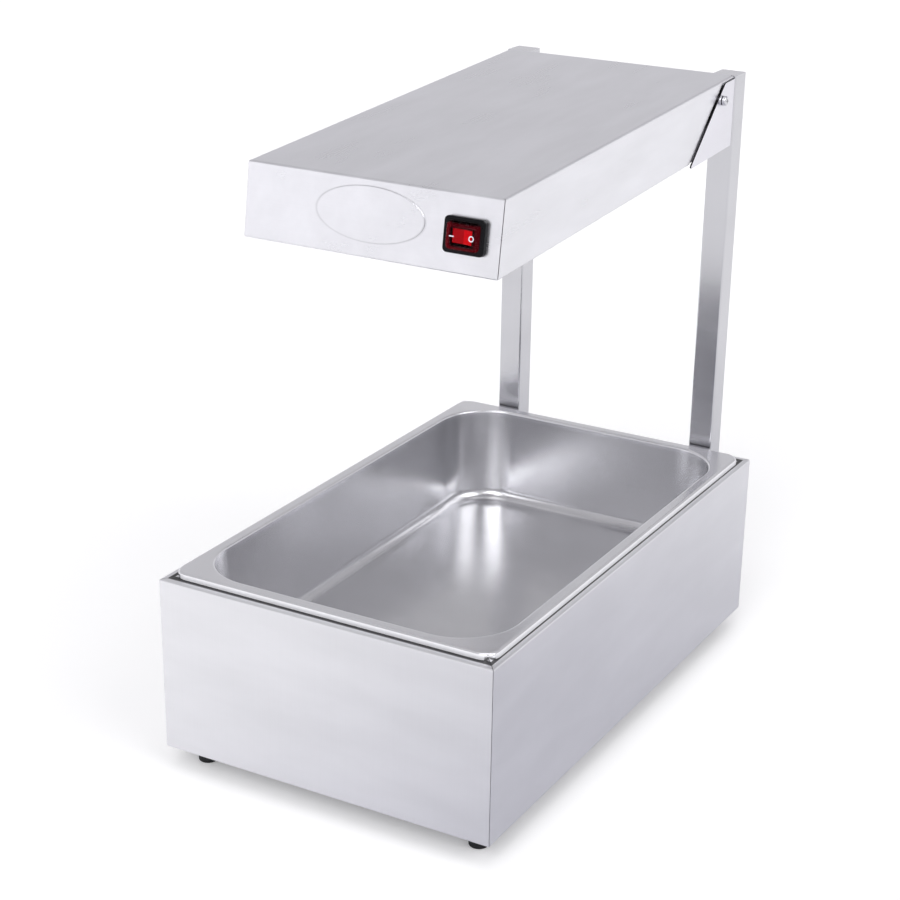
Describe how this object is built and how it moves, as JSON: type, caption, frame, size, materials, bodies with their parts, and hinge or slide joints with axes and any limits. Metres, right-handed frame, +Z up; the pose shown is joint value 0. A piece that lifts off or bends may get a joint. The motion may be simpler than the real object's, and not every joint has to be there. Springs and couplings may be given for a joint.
{
  "type": "chip warmer",
  "caption": "Countertop chip warmer: a brushed steel box holding a full-size food pan, with a tilting heat-lamp hood carried over it on rear posts.",
  "frame": {"origin": "on the floor, under the middle of the box that holds the pan, between its four feet", "axes": "+Z up; -Y is the front, where the switch is; +Y runs back to the posts; +X is to the right of someone facing the front"},
  "size_m": [0.338, 0.58, 0.5756],
  "materials": {
    "brushed_stainless": "satin brushed stainless sheet",
    "satin_pan_stainless": "deep-drawn satin stainless with a polished rim",
    "plain_stainless": "plain mill-finish stainless sheet",
    "polished_reflector": "polished aluminium",
    "bright_fasteners": "bright stainless",
    "black_rubber": "matt black rubber",
    "black_plastic": "moulded black plastic",
    "clear_boot": "clear flexible plastic",
    "red_rocker": "translucent red plastic, lit",
    "switch_metal": "bright steel",
    "contact_brass": "plated brass",
    "quartz_glass": "clear quartz",
    "lamp_filament": "glowing resistance coil",
    "white_ceramic": "unglazed white ceramic",
    "wire_insulation": "glass-braid insulated wire"
  },
  "bodies": {
    "base": {"base_bottom_panel": "plain_stainless", "base_corner_angles": "plain_stainless", "base_front_panel": "brushed_stainless", "base_left_panel": "brushed_stainless", "base_rear_panel": "brushed_stainless", "base_right_panel": "brushed_stainless", "bottom_panel_screws": "bright_fasteners", "bracket_screws": "bright_fasteners", "foot_nuts": "bright_fasteners", "foot_screws": "bright_fasteners", "foot_washers": "bright_fasteners", "left_bracket": "brushed_stainless", "left_post": "brushed_stainless", "pivot_bolts": "bright_fasteners", "pivot_lock_nuts": "bright_fasteners", "pivot_spacers": "bright_fasteners", "pivot_spring_washers": "bright_fasteners", "pivot_washers": "bright_fasteners", "post_bolts": "bright_fasteners", "post_bottom_plugs": "black_plastic", "post_nuts": "bright_fasteners", "post_top_caps": "brushed_stainless", "post_washers": "bright_fasteners", "right_bracket": "brushed_stainless", "right_post": "brushed_stainless", "rubber_feet": "black_rubber"},
    "pan": {"food_pan": "satin_pan_stainless"},
    "hood": {"hood_shell": "brushed_stainless", "hood_rear_panel": "plain_stainless", "hood_pivot_tabs": "plain_stainless", "front_bulkhead_tray": "plain_stainless", "rear_bulkhead_tray": "plain_stainless", "reflector": "polished_reflector", "quartz_tubes": "quartz_glass", "lamp_filaments": "lamp_filament", "lamp_end_caps": "white_ceramic", "lamp_holders": "white_ceramic", "wire_guard": "bright_fasteners", "hood_screws": "bright_fasteners", "cable_gland": "black_plastic", "gland_nut": "black_plastic", "terminal_block": "white_ceramic", "terminal_screws": "contact_brass", "hood_wiring": "wire_insulation", "switch_frame": "black_plastic", "switch_body": "black_plastic", "switch_boot": "clear_boot", "switch_pin": "switch_metal", "switch_blades": "contact_brass"},
    "rocker": {"switch_rocker": "red_rocker"}
  },
  "joints": [
    {"name": "hood_tilt", "type": "hinge", "parent": "base", "child": "hood", "pos_m": [0, 0.2438, 0.5569], "axis": [1, 0, 0], "range_deg": [-1.5, 5]},
    {"name": "pan_lift", "type": "slide", "parent": "base", "child": "pan", "axis": [0, 0, 1], "range_m": [0, 0.11]},
    {"name": "rocker_turn", "type": "hinge", "parent": "hood", "child": "rocker", "pos_m": [0.0906, -0.19072, 0.52033], "axis": [0, 0.1521, 0.9884], "range_deg": [0, 18]}
  ]
}
